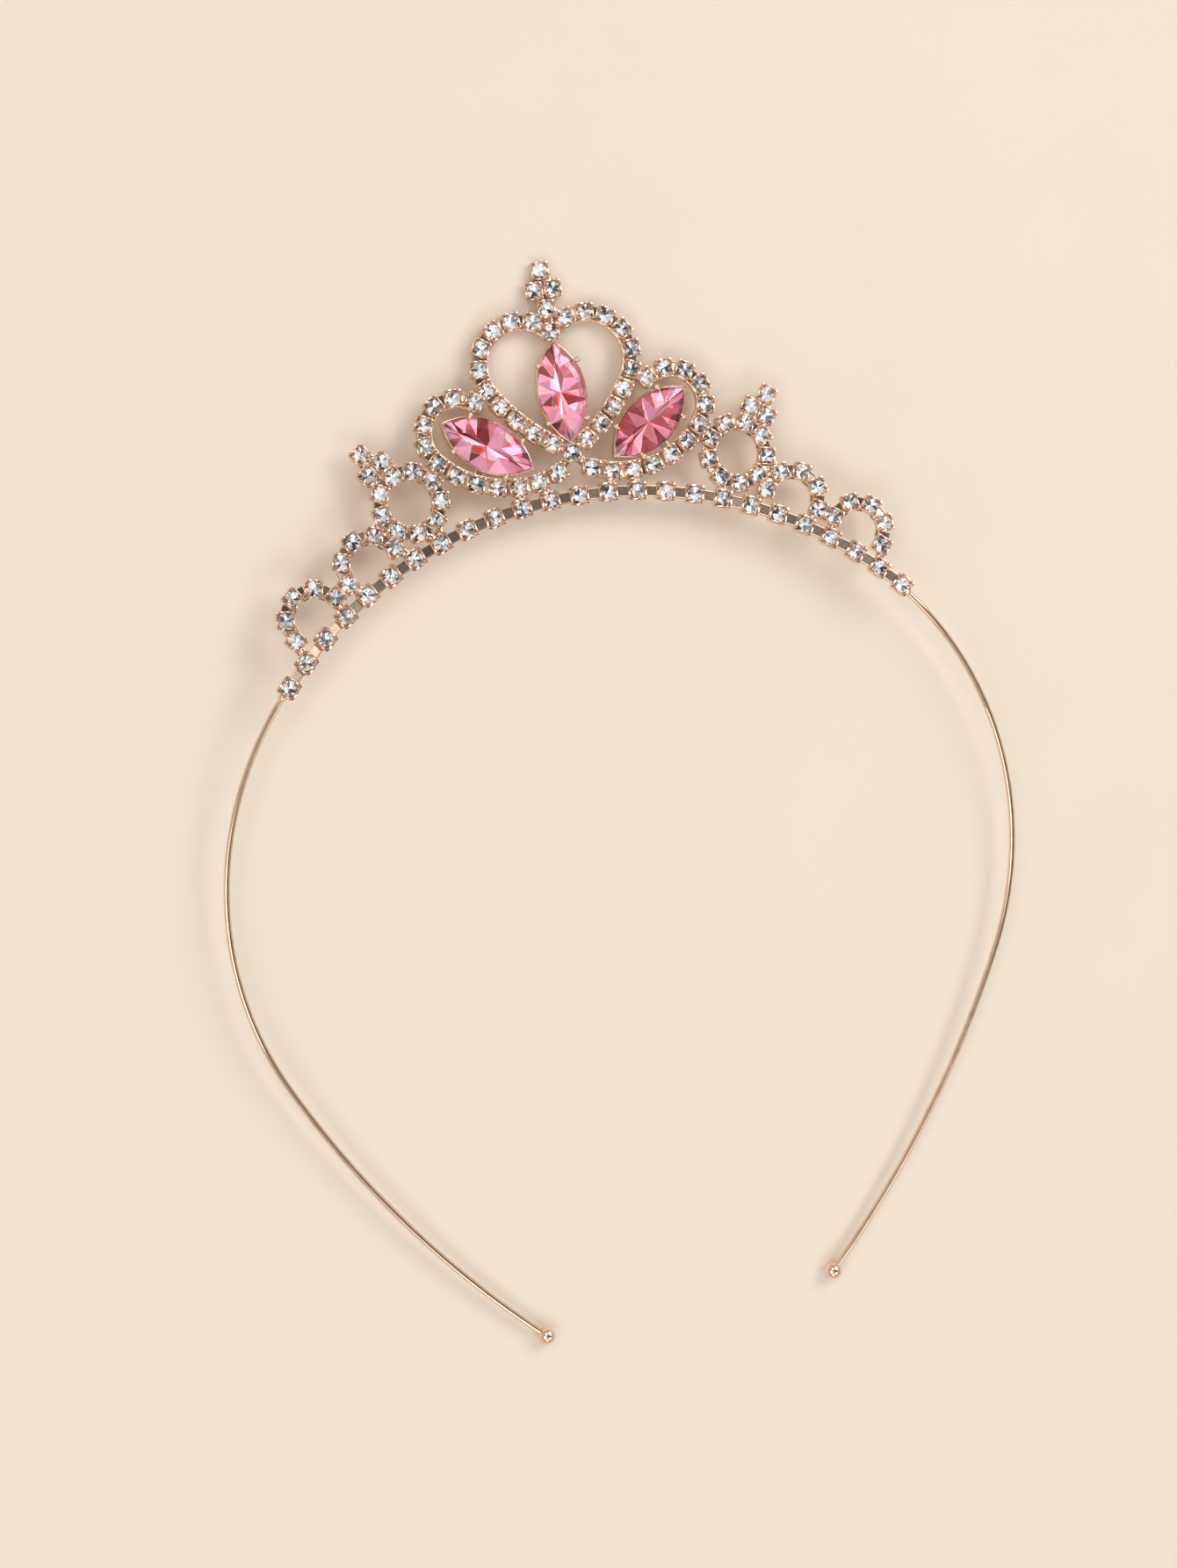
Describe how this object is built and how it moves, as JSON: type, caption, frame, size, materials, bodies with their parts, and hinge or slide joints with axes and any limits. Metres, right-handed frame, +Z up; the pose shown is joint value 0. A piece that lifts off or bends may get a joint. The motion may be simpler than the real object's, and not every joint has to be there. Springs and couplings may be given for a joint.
{
  "type": "mini crown headband",
  "caption": "Thin wire headband with ball tips and a small rhinestone crown of heart, loops, rings, arches and crosses, with three pink navette stones.",
  "frame": {"origin": "on the surface that the headband lies on, below the middle of its box", "axes": "+X to the right as seen from the stones' side, which is the wearer's left, +Y from the ball tips to the crown's top, +Z up, out of the stones' side"},
  "size_m": [0.1376, 0.1785, 0.0087],
  "materials": {
    "metal": "polished light rose gold plating",
    "pink_stone": "foil-backed cut glass, pink",
    "clear_stone": "foil-backed cut glass, clear"
  },
  "bodies": {
    "root": {"frame": "metal", "ball_tip_right": "metal", "ball_tip_left": "metal", "navette_middle": "pink_stone", "navette_right": "pink_stone", "navette_left": "pink_stone", "row_stones": "clear_stone", "heart_stones": "clear_stone", "cross_stones": "clear_stone", "loop_stones_right": "clear_stone", "loop_stones_left": "clear_stone", "ring_stones_right": "clear_stone", "ring_stones_left": "clear_stone", "arch_stones_right": "clear_stone", "arch_stones_left": "clear_stone"}
  },
  "joints": []
}
